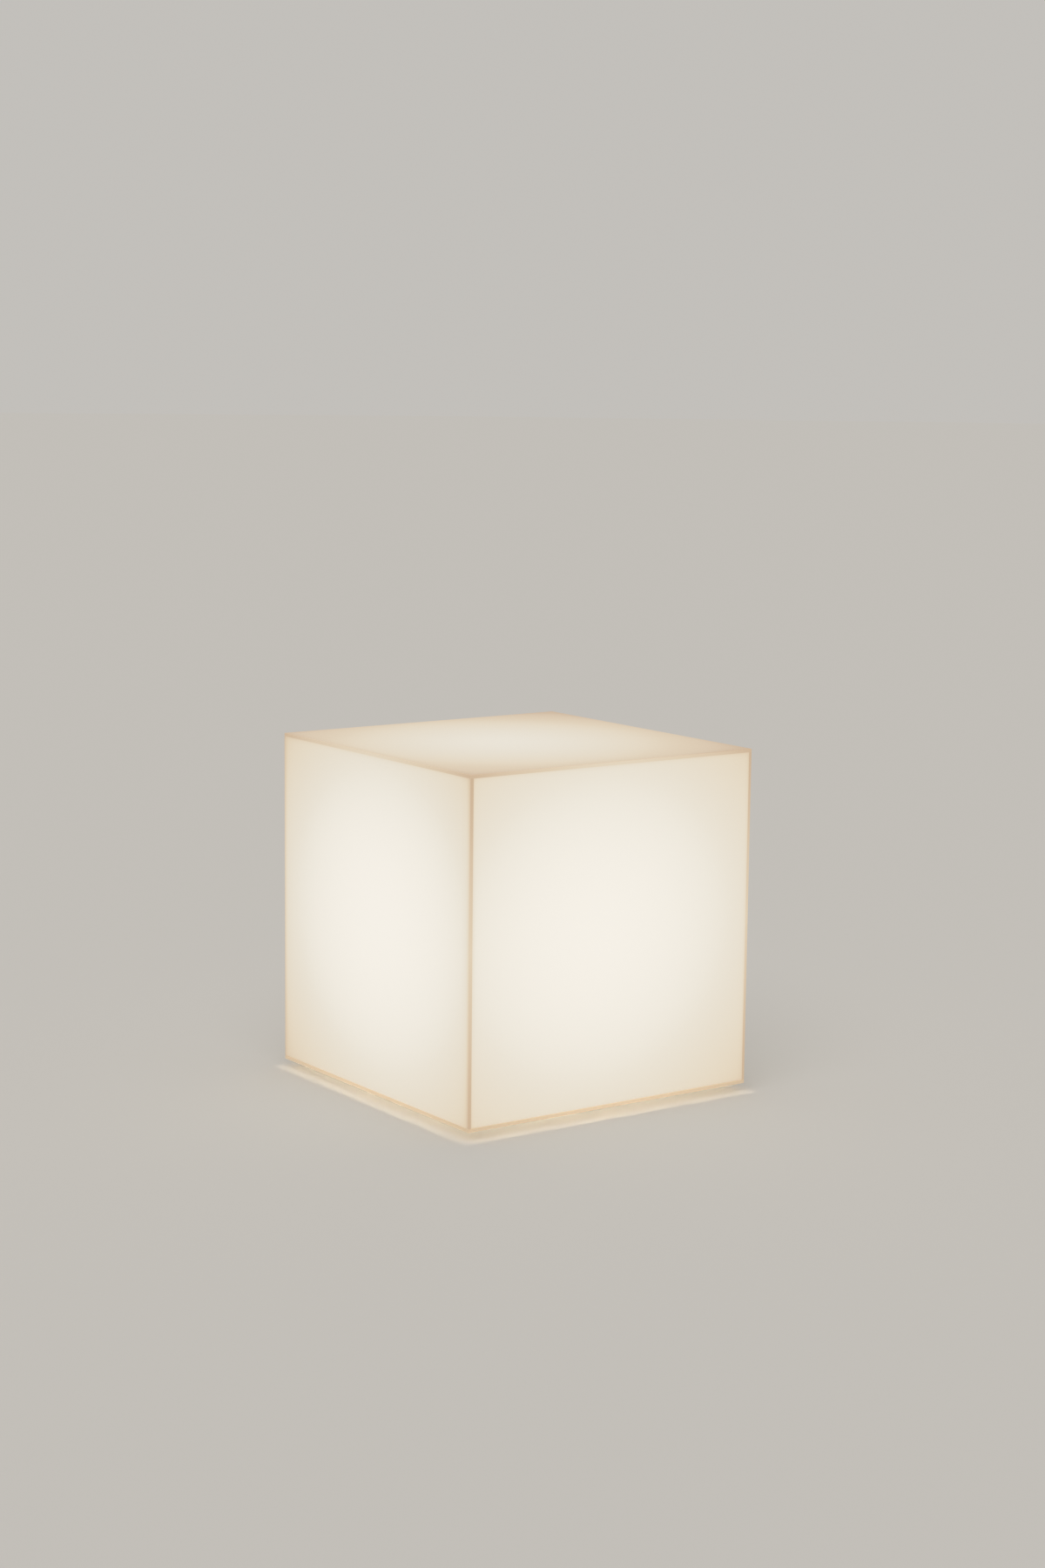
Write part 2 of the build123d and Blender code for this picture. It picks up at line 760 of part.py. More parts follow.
def set_screw_bore(radius, reach):
    """A radial hole through the front of the hub, from the mast out to a given radius."""
    length = reach - mast_radius
    return Pos(0, -mast_radius - length / 2, set_screw_level) * Rot(90, 0, 0) * Cylinder(radius, length)


def set_screw():
    """The screw that locks the lamp on the mast, with a slot in its end."""
    reach = mast_radius + set_screw_length
    low = set_screw_level - m4.cross / 2
    slot = block(2 * m4.shank, m4.cross_depth, low, low + m4.cross, y=-reach)
    return set_screw_bore(m4.shank, reach) - slot


def led_board():
    """The round board that carries the LEDs."""
    radius = neck_radius - globe_wall - led_board_play
    board = tube(radius, wire_hole_radius, led_seat, led_board_top)
    for x, y in lamp_screw_places:
        board -= disc(m2_5.shank + hole_play, led_seat, led_board_top, x, y)
    return board


def led_chips():
    """Two rings of LEDs on the board."""
    rings = ((inner_ring_radius, inner_ring_count), (outer_ring_radius, outer_ring_count))
    chips = []
    for radius, count in rings:
        chip = block(led_width, led_length, led_board_top, led_board_top + led_height, x=radius)
        chips += [Rot(0, 0, 360 * i / count) * chip for i in range(count)]
    return group(chips)


def lamp_screws():
    """Three screws that hold the LED board."""
    tip = led_seat - lamp_screw_grip
    return group([hanging_screw(m2_5, led_board_top, tip, x, y) for x, y in lamp_screw_places])


def globe():
    """The frosted globe, its neck, and the lugs that lock it in the heat sink."""
    ball = Pos(0, 0, globe_centre) * (Sphere(globe_radius) - Sphere(globe_radius - globe_wall))
    ball -= disc(globe_radius, globe_centre - globe_radius, neck_join)
    body = ball + tube(neck_radius, neck_radius - globe_wall, neck_bottom, neck_join)
    low = neck_bottom + lug_rise
    reach = rim_inner_radius + lug_reach - lug_play
    root = neck_radius - globe_wall / 2
    for i in range(lug_count):
        body += sector(reach, root, low, low + lug_height, 360 * i / lug_count, lug_angle)
    return body


def lamp_lead(sign):
    """From the connector up past the battery, in over it, and up the mast to the LED board."""
    plug_x = lamp_connector_x + sign * lead_pitch / 2
    mast_x = sign * lead_pitch / 2
    pad_level = led_board_top + lead_radius + lead_end_gap
    start = (plug_x, connector_y, board_top + connector_height)
    over = (plug_x, connector_y, lead_level)
    under_mast = (mast_x, 0, lead_level)
    at_board = (mast_x, 0, pad_level)
    pad = (sign * pad_reach, 0, pad_level)
    return wire((start, over, under_mast, at_board, pad), lamp_lead_bend)


# ---------------------------------------------------------------- all pieces

foot_screws, foot_washers, foot_nuts = foot_hardware()
module_screws, module_nuts = module_hardware()
nodes = {
    "top_panel": top_panel(),
    "front_wall": cross_wall(-1),
    "back_wall": cross_wall(1),
    "left_wall": side_wall(-1),
    "right_wall": side_wall(1),
    "base_plate": base_plate(),
    "shade_locators": shade_locators(),
    "feet": group([foot(x, y) for x, y in foot_places]),
    "foot_screws": foot_screws,
    "foot_washers": foot_washers,
    "foot_nuts": foot_nuts,
    "module_base": module_base(),
    "module_cover": module_cover(),
    "cover_gasket": cover_gasket(),
    "cover_screws": cover_screws(),
    "module_screws": module_screws,
    "module_nuts": module_nuts,
    "control_board": control_board(),
    "board_screws": board_screws(),
    "board_components": board_components(),
    "board_connectors": board_connectors(),
    "power_switch": power_switch(),
    "switch_plunger": switch_plunger(),
    "power_button": power_button(),
    "charge_socket": charge_socket(),
    "charge_pin": charge_pin(),
    "port_flap": port_flap(),
    "port_plug": port_plug(),
    "flap_pin": hinge_pin_rod(hinge_pin_radius),
    "indicator_lens": indicator_lens(),
    "battery_cells": battery_cells(),
    "battery_straps": battery_straps(),
    "lower_holder": lower_holder(),
    "upper_holder": upper_holder(),
    "holder_screws": holder_screws(),
    "battery_lead_black": battery_lead(-1),
    "battery_lead_red": battery_lead(1),
    "mast_tube": mast_tube(),
    "mast_collar": mast_collar(),
    "mast_nut": mast_nut(),
    "mast_washer": mast_washer(),
    "heat_sink": heat_sink(),
    "set_screw": set_screw(),
    "led_board": led_board(),
    "led_chips": led_chips(),
    "lamp_screws": lamp_screws(),
    "globe": globe(),
    "lamp_lead_black": lamp_lead(-1),
    "lamp_lead_red": lamp_lead(1),
}

os.makedirs("parts", exist_ok=True)
for name, shape in nodes.items():
    export_step(shape, f"parts/{name}.step")
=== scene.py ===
"""The looks of a cordless cube light, made round its packed model and laid out as a Blender add-on.

Every part of the light is a solid of the packed model, so each operator gives like parts their finish.
Coordinates in a finish are the part's own, in millimetres: the origin is on the floor under the cube's
middle, +Z is up, -Y is the front and -X is the left side.
"""

import math

import bpy
import numpy as np
from bpy.props import BoolProperty, FloatProperty, FloatVectorProperty, PointerProperty
from mathutils import Matrix, Vector


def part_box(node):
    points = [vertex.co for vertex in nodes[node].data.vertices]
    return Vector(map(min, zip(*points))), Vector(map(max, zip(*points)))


bl_info = {
    "name": "Cube light",
    "version": (1, 0, 0),
    "blender": (4, 5, 0),
    "location": "View3D > Sidebar > Cube light",
    "description": "Finishes for a glowing opal cube light and a plain studio round it",
    "category": "Object",
}

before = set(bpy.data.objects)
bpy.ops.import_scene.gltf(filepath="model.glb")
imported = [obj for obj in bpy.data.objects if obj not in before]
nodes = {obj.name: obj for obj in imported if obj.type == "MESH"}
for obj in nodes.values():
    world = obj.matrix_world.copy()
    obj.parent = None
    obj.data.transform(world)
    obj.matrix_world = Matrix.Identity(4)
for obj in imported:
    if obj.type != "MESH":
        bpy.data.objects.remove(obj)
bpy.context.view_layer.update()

MM = 1000.0  # millimetres in a metre


def screen(red, green, blue):
    """A colour as it shows on a screen, 0 to 255, turned into the linear values that shaders take."""
    values = np.array([red, green, blue]) / 255
    linear = np.where(values <= 0.04045, values / 12.92, ((values + 0.055) / 1.055) ** 2.4)
    return tuple(float(value) for value in linear)


def extent(name):
    """The lowest and highest corner of a part of the packed model, in millimetres."""
    low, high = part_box(name)
    return low * MM, high * MM


WALL_BOTTOM = extent("front_wall")[0].z
TOP_LOW, TOP_HIGH = extent("top_panel")
GLOBE_LOW, GLOBE_HIGH = extent("globe")
GLOBE_RADIUS = (GLOBE_HIGH.x - GLOBE_LOW.x) / 2
HALF = TOP_HIGH.x  # from the cube's middle to its faces
SHEET = TOP_HIGH.z - TOP_LOW.z
MIDDLE = (WALL_BOTTOM + TOP_HIGH.z) / 2  # height of the faces' middle
PLATE_BOTTOM, PLATE_TOP = (corner.z for corner in extent("base_plate"))
FLANGE_RADIUS = extent("module_base")[1].x
FOOT_RADIUS = 12.0  # of a foot's top
FOOT_AT = extent("feet")[1].x - FOOT_RADIUS  # from the cube's middle to a foot's, both ways
CELL_END = extent("battery_cells")[1].x
LEVEL = 0.05  # how far from a level a point still counts as on it
FACING, ASIDE = 0.75, 0.45  # least share of an axis in a direction along it, and most in one aside

ACRYLIC, RESIN, POLYCARBONATE = 1.49, 1.5, 1.58  # refraction
BLACK = (0.0, 0.0, 0.0)
PLATE_LIGHT = 0.66  # strength of the light in the clear plate's edges
FLANGE_PAINTED_GLOW = 0.48  # strength of the painted glow that gives the flange's underside, and the plate's face under it, the housing's lit tone
GLOW_SHARE = 0.125  # how much of the spill's strength falls on the parts round the globe
FLOOR_RADIUS = 25.0  # metres
KEY_AZIMUTH, KEY_HEIGHT, KEY_WIDTH = -45.0, 58.0, 50.0  # degrees
UNDER_WIDTH = 20.0  # degrees
HEADING, TILT, ROLL = -35.417, 8.796, 0.611  # of the photograph's camera, in degrees


# ------------------------------------------------------------------ settings


class ShadeSettings(bpy.types.PropertyGroup):
    """The glow of the opal sheets, from the middle of a face out to a corner."""

    centre: FloatVectorProperty(
        name="Face centre",
        description="Glow in the middle of a face, in front of the lamp",
        subtype="COLOR",
        default=screen(246, 242, 234),
    )
    face: FloatVectorProperty(
        name="Face",
        description="Glow of the faces half way out",
        subtype="COLOR",
        default=screen(234, 227.5, 214.5),
    )
    rim: FloatVectorProperty(
        name="Face rim",
        description="Glow of a face beside its seams",
        subtype="COLOR",
        default=screen(225.5, 210.5, 187),
    )
    seam: FloatVectorProperty(
        name="Seam",
        description="Glow of the sheets' edges, which show as seams",
        subtype="COLOR",
        default=screen(213, 191, 164),
    )
    corner: FloatVectorProperty(
        name="Corner",
        description="Glow where three seams meet",
        subtype="COLOR",
        default=screen(200, 173, 143),
    )
    throw_back: FloatProperty(
        name="Throw-back",
        description="How much of the light that falls on it the opal sheet throws back",
        subtype="FACTOR",
        min=0.0,
        max=1.0,
        default=0.44,
    )
    glow: FloatProperty(
        name="Glow",
        description="Strength of the light that comes through the sheet",
        min=0.0,
        max=4.0,
        default=0.705,
    )
    roughness: FloatProperty(
        name="Roughness",
        description="Roughness of the sheet's satin surface",
        subtype="FACTOR",
        min=0.0,
        max=1.0,
        default=0.42,
    )


class BaseSettings(bpy.types.PropertyGroup):
    """The clear plate, its bars and the rubber feet."""

    clear: FloatVectorProperty(
        name="Clear sheet",
        description="Tint of the clear acrylic",
        subtype="COLOR",
        default=screen(240, 238, 230),
    )
    clarity: FloatProperty(
        name="Clarity",
        description="How much of what lies behind the clear sheet shows through it",
        subtype="FACTOR",
        min=0.0,
        max=1.0,
        default=0.88,
    )
    edge: FloatVectorProperty(
        name="Lit edge",
        description="Light that the clear sheet pipes to its cut edges",
        subtype="COLOR",
        default=screen(223, 199, 167),
    )
    rubber: FloatVectorProperty(
        name="Rubber",
        description="Colour of the feet and the seals",
        subtype="COLOR",
        default=screen(44, 43, 42),
    )


class ModuleSettings(bpy.types.PropertyGroup):
    """The housing in the middle of the plate, and what is in it."""

    housing: FloatVectorProperty(
        name="Housing",
        description="Colour of the moulded housing",
        subtype="COLOR",
        default=screen(228, 226, 221),
    )
    control: FloatVectorProperty(
        name="Controls",
        description="Colour of the button and the socket's flap",
        subtype="COLOR",
        default=screen(120, 120, 119),
    )
    board: FloatVectorProperty(
        name="Board",
        description="Solder mask of the control board",
        subtype="COLOR",
        default=screen(28, 96, 58),
    )
    sleeve: FloatVectorProperty(
        name="Cell sleeve",
        description="Shrink sleeve of the battery cells",
        subtype="COLOR",
        default=screen(46, 112, 168),
    )


class LampSettings(bpy.types.PropertyGroup):
    """The mast, the heat sink and the globe."""

    aluminium: FloatVectorProperty(
        name="Aluminium",
        description="Colour of the mast and the heat sink",
        subtype="COLOR",
        default=screen(206, 206, 204),
    )
    light: FloatVectorProperty(
        name="Light",
        description="Colour of the lit globe",
        subtype="COLOR",
        default=screen(255, 236, 205),
    )
    strength: FloatProperty(
        name="Globe strength",
        description="Strength of the lit globe at its middle",
        min=0.0,
        max=20.0,
        default=0.78,
    )


class StudioSettings(bpy.types.PropertyGroup):
    """The plain floor, the soft light and the camera."""

    floor: FloatVectorProperty(
        name="Floor",
        description="Colour of the floor",
        subtype="COLOR",
        default=screen(205, 202, 197),
    )
    sky: FloatProperty(
        name="Sky",
        description="Strength of the even light from all round",
        min=0.0,
        max=4.0,
        default=0.66,
    )
    key: FloatProperty(
        name="Key light",
        description="Strength of the large soft light from above",
        min=0.0,
        max=10.0,
        default=0.85,
    )
    spill: FloatProperty(
        name="Spill",
        description="Strength of the globe's light on the floor",
        min=0.0,
        max=40.0,
        default=20.0,
    )
    lens: FloatProperty(
        name="Lens",
        description="Focal length of the camera",
        subtype="DISTANCE_CAMERA",
        default=64.66,
    )
    place: FloatVectorProperty(
        name="Camera place",
        description="Where the camera stands",
        subtype="TRANSLATION",
        default=(-1.4400, -2.0375, 0.6582),
    )
    one_way: BoolProperty(
        name="See from below",
        description="Let the floor be seen through from underneath, to look at the light's underside",
        default=True,
    )


# ------------------------------------------------------------------ shader maths


class Value:
    """An output of a node. Python's operators on it add Math nodes."""

    def __init__(self, graph, socket):
        self.graph = graph
        self.socket = socket

    def maths(self, operation, *operands):
        return self.graph.add("ShaderNodeMath", {"operation": operation}, *operands)

    def others(self, *names):
        """Other outputs of the same node."""
        return [Value(self.graph, self.socket.node.outputs[name]) for name in names]

    def __add__(self, other):
        return self.maths("ADD", self, other)

    def __sub__(self, other):
        return self.maths("SUBTRACT", self, other)

    def __rsub__(self, other):
        return self.maths("SUBTRACT", other, self)

    def __mul__(self, other):
        return self.maths("MULTIPLY", self, other)

    def __truediv__(self, other):
        return self.maths("DIVIDE", self, other)

    def __rtruediv__(self, other):
        return self.maths("DIVIDE", other, self)

    def __pow__(self, other):
        return self.maths("POWER", self, other)

    def __abs__(self):
        return self.maths("ABSOLUTE", self)


class Graph:
    """The nodes of a material or of the world."""

    def __init__(self, tree):
        self.tree = tree

    def add(self, kind, settings=None, *values, out=0, **named):
        """Adds any node: its settings first, then its sockets' values or links, by order or by name."""
        node = self.tree.nodes.new(kind)
        for setting, value in (settings or {}).items():
            setattr(node, setting, value)
        for socket, value in [*enumerate(values), *named.items()]:
            key = socket if isinstance(socket, int) else socket.replace("_", " ")
            self.feed(node.inputs[key], value)
        return Value(self, node.outputs[out])

    def feed(self, socket, value):
        """Links a value to a socket, or sets a number or colour on it."""
        if isinstance(value, Value):
            self.tree.links.new(value.socket, socket)
        elif hasattr(value, "__len__") and len(value) == 3 and len(socket.default_value) == 4:
            socket.default_value = (*value, 1.0)
        else:
            socket.default_value = value

    def end(self, output, value):
        """Links the last value to the node that the graph ends in."""
        self.feed(self.tree.nodes[output].inputs["Surface"], value)

    def split(self, coordinate):
        """A kind of texture coordinate, as three values."""
        vector = self.add("ShaderNodeTexCoord", out=coordinate)
        return self.add("ShaderNodeSeparateXYZ", None, vector).others("X", "Y", "Z")

    def place(self):
        """The point's place on the light in millimetres."""
        return [value * MM for value in self.split("Object")]

    def facing(self):
        """The surface's direction."""
        return self.split("Normal")

    def noise(self, scale, detail=2.0, stretch=(1.0, 1.0, 1.0)):
        """Cloudy noise from 0 to 1, in lumps per metre, that can be drawn out along an axis."""
        point = self.add("ShaderNodeTexCoord", out="Object")
        drawn = self.add("ShaderNodeMapping", None, point, Scale=stretch)
        return self.add("ShaderNodeTexNoise", None, drawn, out="Fac", Scale=scale, Detail=detail)

    def greater(self, first, second):
        return self.add("ShaderNodeMath", {"operation": "MAXIMUM"}, first, second)

    def lesser(self, first, second):
        return self.add("ShaderNodeMath", {"operation": "MINIMUM"}, first, second)

    def saw(self, value, pitch):
        """A value folded back and forth between 0 and a pitch."""
        return self.add("ShaderNodeMath", {"operation": "PINGPONG"}, value, pitch)

    def step(self, value, start, end, low=0.0, high=1.0):
        """A soft step from one level to another as a value runs from start to end."""
        smooth = {"interpolation_type": "SMOOTHSTEP"}
        return self.add("ShaderNodeMapRange", smooth, value, start, end, low, high)

    def blend(self, share, first, second):
        """A mix of two colours: the Mix node's inputs 6 and 7, and its output 2, are its colours."""
        settings = {"data_type": "RGBA", "clamp_factor": True}
        mixed = self.add("ShaderNodeMix", settings, share, out=2)
        for place, colour in ((6, first), (7, second)):
            self.feed(mixed.socket.node.inputs[place], colour)
        return mixed

    def scaled(self, colour, factor):
        """A colour times a number."""
        return self.add("ShaderNodeVectorMath", {"operation": "SCALE"}, colour, Scale=factor)

    def ramp(self, value, stops):
        """A colour read off a row of stops."""
        ramp = self.add("ShaderNodeValToRGB", None, value)
        ramp.socket.node.color_ramp.interpolation = "CARDINAL"
        elements = ramp.socket.node.color_ramp.elements
        while len(elements) < len(stops):
            elements.new(1.0)
        for element, (position, colour) in zip(elements, stops):
            element.position = position
            element.color = (*colour, 1.0)
        return ramp


class Finish(Graph):
    """A material on its way: its nodes, and the shader that they end in."""

    def __init__(self, name, **constants):
        self.material = bpy.data.materials.new(name)
        self.material.use_nodes = True
        super().__init__(self.material.node_tree)
        self.shader = self.tree.nodes["Principled BSDF"]
        for socket, value in constants.items():
            self.set(socket.replace("_", " ").title().replace("Ior", "IOR"), value)

    def set(self, socket, value):
        """Sets or links a socket of the shader."""
        self.feed(self.shader.inputs[socket], value)

    def relief(self, height, depth, strength=1.0):
        """Fine relief of a depth in millimetres."""
        bump = self.add("ShaderNodeBump", None, Height=height, Distance=depth / MM, Strength=strength)
        self.set("Normal", bump)


def wear(finish, *names):
    """Gives parts of the packed model a finish, in every material slot that they have."""
    for name in names:
        for slot in nodes[name].material_slots:
            slot.material = finish.material


def speckled(name, colour, roughness, grain, depth, variation, **constants):
    """A moulded finish: fine grain in the relief and the gloss, and faint clouds in the colour."""
    finish = Finish(name, **constants)
    clouds = finish.noise(scale=60, detail=3)
    fine = finish.noise(scale=grain)
    pale = [value * (1 + variation) for value in colour]
    deep = [value * (1 - variation) for value in colour]
    finish.set("Base Color", finish.blend(clouds, deep, pale))
    gloss_range = 0.12
    finish.set("Roughness", fine * gloss_range + (roughness - gloss_range / 2))
    finish.relief(fine, depth)
    return finish


def turned(name, colour, roughness, stretch, lines, depth):
    """A machined metal: fine lines along the cut in colour, gloss and relief, and some wear."""
    finish = Finish(name, metallic=1.0)
    cut = finish.noise(lines, 3, stretch)
    worn = finish.noise(scale=45, detail=4)
    deep = [value * 0.74 for value in colour]
    # the colour is darker where the cut lines' relief is low: partly the metal's own tone along the cut,
    # partly painted shade in the grooves
    finish.set("Base Color", finish.blend(cut * 0.6 + worn * 0.4, deep, colour))
    cut_range, worn_range = 0.10, 0.12
    mean = (cut_range + worn_range) / 2
    finish.set("Roughness", cut * cut_range + worn * worn_range + (roughness - mean))
    finish.relief(cut, depth)
    return finish


# ------------------------------------------------------------------ the shade


def dip(distance, depth, width):
    """How much darker a face is near a seam: depth / (1 + (distance / width) squared)."""
    share = distance / width
    return depth / (share * share + 1)


def opal(name, level):
    """Opal acrylic that glows from inside: level gives the glow, from 0 at a corner to 1 at a centre."""
    shade = bpy.context.scene.cube_shade
    gloss = {"coat_roughness": shade.roughness, "coat_ior": ACRYLIC, "specular_ior_level": 0.0}
    finish = Finish(name, emission_strength=shade.glow, roughness=shade.roughness, **gloss)
    stops = [
        (0.0, shade.corner),
        (0.26, shade.seam),
        (0.53, shade.rim),
        (0.80, shade.face),
        (1.0, shade.centre),
    ]
    colour = finish.ramp(level(finish), stops)
    finish.set("Emission Color", colour)
    # the base colour follows the glow, so the seams, corners and the falloff to the rims are painted
    # shade in it too
    finish.set("Base Color", finish.scaled(colour, shade.throw_back))
    finish.set("Coat Weight", finish.noise(scale=14, detail=4) * 0.2 + 0.88)
    finish.relief(finish.noise(scale=7), depth=0.05, strength=0.15)
    return finish


def falloff(across, up, centre, tilt, bow, droop):
    """The glow of a face, which falls off as the square of the way out from its middle."""
    return centre - across * tilt - across * across * bow - up * up * droop


def wall_level(along, z, centre, tilt, bow, droop):
    """The glow of a wall, which darkens beside the top panel's seam and along its own lower edge."""
    height = (z - MIDDLE) / HALF
    rise = 0.018
    face = falloff(along / HALF, height, centre, tilt, bow, droop) + height * rise
    seam = dip(TOP_LOW.z - z, depth=0.09, width=1.5)
    lower_edge = dip(z - WALL_BOTTOM, depth=0.06, width=1.5)
    return face - (seam + lower_edge)


def side_level(finish):
    """Left and right walls: their faces darken at the ends, and their edges show as seams in front."""
    _, y, z = finish.place()
    face = wall_level(y, z, centre=1.0, tilt=0.035, bow=0.224, droop=0.25)
    face = face - dip(HALF - abs(y), depth=0.33, width=2.5)
    brightest, fall = 0.49, 0.40
    edge = brightest - abs((z - MIDDLE) / HALF) * fall
    on_edge = finish.step(abs(finish.facing()[1]), ASIDE, FACING)
    return face + (edge - face) * on_edge


def cross_level(finish):
    """Front and back walls, which end at the side walls' edges."""
    x, _, z = finish.place()
    face = wall_level(x, z, centre=0.975, tilt=0.044, bow=0.186, droop=0.227)
    return face - dip(HALF - SHEET - abs(x), depth=0.12, width=1.5)


def top_level(finish):
    """The top panel: a dimmer face with a wide falloff, and its edge, which shows as the upper seam."""
    x, y, _ = finish.place()
    across, back = x / HALF, y / HALF
    face = falloff(across, back, centre=0.80, tilt=0.06, bow=0.308, droop=0.321)
    face = face - dip(HALF - finish.greater(abs(x), abs(y)), depth=0.09, width=5.0)
    along = finish.lesser(abs(across), abs(back))
    brightest, fall = 0.55, 0.40
    edge = brightest - along * along * fall
    on_edge = finish.step(abs(finish.facing()[2]), FACING, ASIDE)
    return face + (edge - face) * on_edge


class CUBE_OT_opal_shade(bpy.types.Operator):
    """Finish the five opal sheets of the lift-off shade"""

    bl_idname = "cube_light.opal_shade"
    bl_label = "Opal shade"

    def execute(self, context):
        wear(opal("opal_side_sheet", side_level), "left_wall", "right_wall")
        wear(opal("opal_cross_sheet", cross_level), "front_wall", "back_wall")
        wear(opal("opal_top_sheet", top_level), "top_panel")
        return {"FINISHED"}


# ------------------------------------------------------------------ base plate, bars and feet


def cut_sides(finish):
    """1 on the upright sides of clear acrylic that lies flat, and 0 on its faces."""
    return finish.step(abs(finish.facing()[2]), 0.75, 0.35)


def within(finish, across, along, radius):
    """1 inside a circle round the point that across and along are measured from, and 0 outside."""
    return finish.step((across * across + along * along) ** 0.5, radius, radius - 2 * LEVEL)


def clear_plate(base, housing):
    """The clear plate: its cut edges pass on piped light.

    The flange and the feet lie on it face to face, so it takes their tone there: on its top the flange's
    lit tone, painted as a glow on a black base, and on its bottom the feet's rubber.
    """
    finish = Finish("clear_plate", ior=ACRYLIC, emission_strength=PLATE_LIGHT)
    x, y, z = finish.place()
    out = finish.greater(abs(x), abs(y)) / HALF
    along = finish.lesser(abs(x), abs(y)) / HALF
    rim = finish.step(out, 0.976, 0.980)  # the outer 3 mm, where the walls stand: treated as a cut side, opaque, with a painted glow
    cut = finish.greater(cut_sides(finish), rim)
    at_holes, at_edges, fall = 0.45, 1.0, 0.24
    lit = cut * finish.step(out, 0.88, 0.98, at_holes, at_edges) * (1 - along * along * fall)
    at_top = finish.step(z, PLATE_TOP - 2 * LEVEL, PLATE_TOP - LEVEL)
    at_bottom = finish.step(z, PLATE_BOTTOM + 2 * LEVEL, PLATE_BOTTOM + LEVEL)
    flange = within(finish, x, y, FLANGE_RADIUS) * at_top
    foot = within(finish, abs(x) - FOOT_AT, abs(y) - FOOT_AT, FOOT_RADIUS) * at_bottom
    # the cut sides' base colour is half the piped light's colour: painted light in the base colour
    frosted = [value / 2 for value in base.edge]
    colour = finish.blend(flange, finish.blend(cut, base.clear, frosted), BLACK)
    finish.set("Base Color", finish.blend(foot, colour, base.rubber))
    # painted light: the flange's lit tone glows on the plate's top where the flange lies, over a black
    # base
    painted_flange_glow = [value * FLANGE_PAINTED_GLOW / PLATE_LIGHT for value in housing]
    finish.set("Emission Color", finish.blend(flange, finish.blend(lit, BLACK, base.edge), painted_flange_glow))
    solid = finish.greater(cut, finish.greater(flange, foot))
    finish.set("Alpha", solid * base.clarity + (1 - base.clarity))
    scuffs = finish.noise(scale=220, detail=5, stretch=(1, 3, 1))
    finish.set("Roughness", scuffs * 0.08 + cut * 0.30 + 0.04)
    return finish


def clear_bars(base):
    """Bars of the same acrylic: see-through, with a little haze on their cut sides, and a faint painted
    glow all over.
    """
    finish = Finish("clear_bars", ior=ACRYLIC, emission_strength=0.10)
    cut = cut_sides(finish)
    scuffs = finish.noise(scale=260, detail=5, stretch=(1, 1, 3))
    finish.set("Base Color", base.clear)
    finish.set("Emission Color", base.edge)
    finish.set("Alpha", cut * 0.14 + scuffs * 0.04 + (1 - base.clarity))
    finish.set("Roughness", scuffs * 0.10 + cut * 0.12 + 0.05)
    return finish


class CUBE_OT_clear_base(bpy.types.Operator):
    """Finish the clear base plate and the four bars that centre the shade"""

    bl_idname = "cube_light.clear_base"
    bl_label = "Clear base"

    def execute(self, context):
        base = context.scene.cube_base
        wear(clear_plate(base, context.scene.cube_module.housing), "base_plate")
        wear(clear_bars(base), "shade_locators", "indicator_lens")
        return {"FINISHED"}


class CUBE_OT_rubber(bpy.types.Operator):
    """Finish the rubber feet, the housing's seal and the socket's plug"""

    bl_idname = "cube_light.rubber"
    bl_label = "Rubber"

    def execute(self, context):
        colour = context.scene.cube_base.rubber
        foot = speckled("foot_rubber", colour, roughness=0.72, grain=1600, depth=0.03, variation=0.12)
        seal = speckled("seal_rubber", colour, roughness=0.60, grain=2600, depth=0.01, variation=0.08)
        wear(foot, "feet")
        wear(seal, "cover_gasket", "port_plug")
        return {"FINISHED"}


class CUBE_OT_fasteners(bpy.types.Operator):
    """Finish the screws, washers, nuts and pins"""

    bl_idname = "cube_light.fasteners"
    bl_label = "Fasteners"

    def execute(self, context):
        grey, pale, gold = screen(190, 190, 188), screen(214, 210, 202), screen(214, 182, 116)
        steel = turned("plain_steel", grey, roughness=0.34, stretch=(1, 1, 4), lines=1400, depth=0.003)
        nickel = turned("nickel_plate", pale, roughness=0.22, stretch=(1, 4, 1), lines=1200, depth=0.002)
        brass = turned("turned_brass", gold, roughness=0.30, stretch=(1, 1, 5), lines=1100, depth=0.003)
        wear(
            steel,
            *("foot_screws", "foot_washers", "foot_nuts", "mast_washer", "set_screw", "flap_pin"),
            *("cover_screws", "module_screws", "module_nuts", "board_screws", "holder_screws"),
            "lamp_screws",
        )
        wear(nickel, "charge_pin", "battery_straps")
        wear(brass, "mast_nut")
        return {"FINISHED"}


# ------------------------------------------------------------------ module


class CUBE_OT_housing(bpy.types.Operator):
    """Finish the two halves of the moulded housing"""

    bl_idname = "cube_light.housing"
    bl_label = "Housing"

    def execute(self, context):
        colour = context.scene.cube_module.housing
        satin = {"roughness": 0.46, "grain": 2400, "depth": 0.012, "variation": 0.025}
        wear(speckled("satin_housing", colour, **satin), "module_cover")
        pan = speckled("satin_pan", colour, emission_strength=FLANGE_PAINTED_GLOW, **satin)
        # the flange's underside, where it lies on the plate, is painted with the housing's lit tone as a
        # glow on a black base, the same as the plate's face there
        pressed = pan.step(abs(pan.place()[2] - PLATE_TOP), 1.2 * LEVEL, 0.8 * LEVEL)
        moulded = Value(pan, pan.shader.inputs["Base Color"].links[0].from_socket)
        pan.set("Base Color", pan.blend(pressed, moulded, BLACK))
        pan.set("Emission Color", pan.blend(pressed, BLACK, colour))
        wear(pan, "module_base")
        return {"FINISHED"}


class CUBE_OT_controls(bpy.types.Operator):
    """Finish the button, the switch, and the charging socket with its flap"""

    bl_idname = "cube_light.controls"
    bl_label = "Controls"

    def execute(self, context):
        black = screen(46, 46, 47)
        grey = context.scene.cube_module.control
        satin = speckled("satin_control", grey, roughness=0.50, grain=2200, depth=0.015, variation=0.05)
        dark = speckled("dark_moulding", black, roughness=0.42, grain=2000, depth=0.010, variation=0.08)
        wear(satin, "power_button", "port_flap")
        wear(dark, "power_switch", "switch_plunger", "charge_socket")
        return {"FINISHED"}


